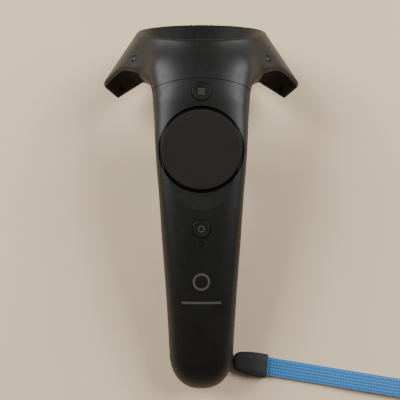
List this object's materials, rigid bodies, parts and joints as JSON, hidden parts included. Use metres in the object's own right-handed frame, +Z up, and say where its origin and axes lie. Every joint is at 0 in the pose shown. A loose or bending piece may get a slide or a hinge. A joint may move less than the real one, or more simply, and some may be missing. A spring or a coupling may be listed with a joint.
{
  "type": "vr motion controller",
  "caption": "Hand-held VR motion controller: tapered handle with round trackpad, buttons, trigger and side grips, six-sided tracking ring at the head, blue wrist strap.",
  "frame": {"origin": "middle of the controller's footprint box, without its strap, on the surface that it lies on", "axes": "+Z up from the surface, +Y towards the sensor ring, +X to the right of a user who looks at the trackpad"},
  "size_m": [0.2879, 0.2366, 0.0698],
  "materials": {
    "charcoal_plastic": "satin moulded, fine texture",
    "rear_plastic": "dark moulded, fine texture",
    "inner_plastic": "plain moulded",
    "black_plastic": "moulded, slightly glossy",
    "pad_plastic": "matte, fine grain",
    "board_green": "solder mask",
    "flex_film": "polyimide film",
    "steel": "plain",
    "cell_wrap": "foil wrap",
    "light_pipe": "clear, unlit",
    "sleeve_rubber": "matte rubber",
    "cord_black": "braided",
    "webbing_blue": "fine ribbed weave"
  },
  "bodies": {
    "casing": {"handle_top_shell": "charcoal_plastic", "handle_bottom_shell": "charcoal_plastic", "head_cover": "charcoal_plastic", "ring_rear_shell": "rear_plastic", "ring_chassis": "inner_plastic", "sensor_flex": "flex_film", "trackpad_bezel": "black_plastic", "trackpad_switch": "black_plastic", "menu_switch": "black_plastic", "system_switch": "black_plastic", "status_light_pipe": "light_pipe", "trigger_pin": "steel", "trigger_spring": "steel", "trigger_bracket": "inner_plastic", "trigger_click_switch": "black_plastic", "grip_switch_left": "black_plastic", "grip_switch_right": "black_plastic", "main_board": "board_green", "radio_shield": "steel", "antenna": "flex_film", "battery": "cell_wrap", "haptic_motor": "steel", "usb_receptacle": "steel", "case_screw_1": "steel", "case_screw_2": "steel", "case_screw_3": "steel", "case_screw_4": "steel", "lanyard_bar": "steel", "lanyard_cord": "cord_black", "strap_sleeve": "sleeve_rubber", "strap_webbing": "webbing_blue", "wrist_loop": "webbing_blue"},
    "trackpad_body": {"trackpad": "pad_plastic", "trackpad_board": "board_green"},
    "menu_button_body": {"menu_button": "charcoal_plastic"},
    "system_button_body": {"system_button": "charcoal_plastic"},
    "trigger_body": {"trigger": "black_plastic", "trigger_magnet": "steel"},
    "grip_left_body": {"grip_button_left": "charcoal_plastic"},
    "grip_right_body": {"grip_button_right": "charcoal_plastic"},
    "strap_slider_body": {"strap_slider": "black_plastic"}
  },
  "joints": [
    {"name": "trackpad_click", "type": "slide", "parent": "casing", "child": "trackpad_body", "axis": [0, 0.3012, -0.9536], "range_m": [0, 0.0005], "stiffness_N_per_m": 1500, "springref_m": -0.001},
    {"name": "menu_press", "type": "slide", "parent": "casing", "child": "menu_button_body", "axis": [0, 0.3012, -0.9536], "range_m": [0, 0.0005], "stiffness_N_per_m": 1200, "springref_m": -0.001},
    {"name": "system_press", "type": "slide", "parent": "casing", "child": "system_button_body", "axis": [0, 0.3012, -0.9536], "range_m": [0, 0.0004], "stiffness_N_per_m": 1200, "springref_m": -0.001},
    {"name": "trigger_pull", "type": "hinge", "parent": "casing", "child": "trigger_body", "pos_m": [0, 0.01936, 0.03845], "axis": [-1, 0, 0], "range_deg": [0, 20], "stiffness_Nm_per_rad": 0.1, "springref_deg": -14.32},
    {"name": "grip_left_press", "type": "slide", "parent": "casing", "child": "grip_left_body", "axis": [1, 0, 0], "range_m": [0, 0.0008], "stiffness_N_per_m": 1500, "springref_m": -0.001},
    {"name": "grip_right_press", "type": "slide", "parent": "casing", "child": "grip_right_body", "axis": [-1, 0, 0], "range_m": [0, 0.0008], "stiffness_N_per_m": 1500, "springref_m": -0.001},
    {"name": "strap_slider_slide", "type": "slide", "parent": "casing", "child": "strap_slider_body", "axis": [-0.988, 0.1547, 0], "range_m": [0, 0.024]}
  ]
}
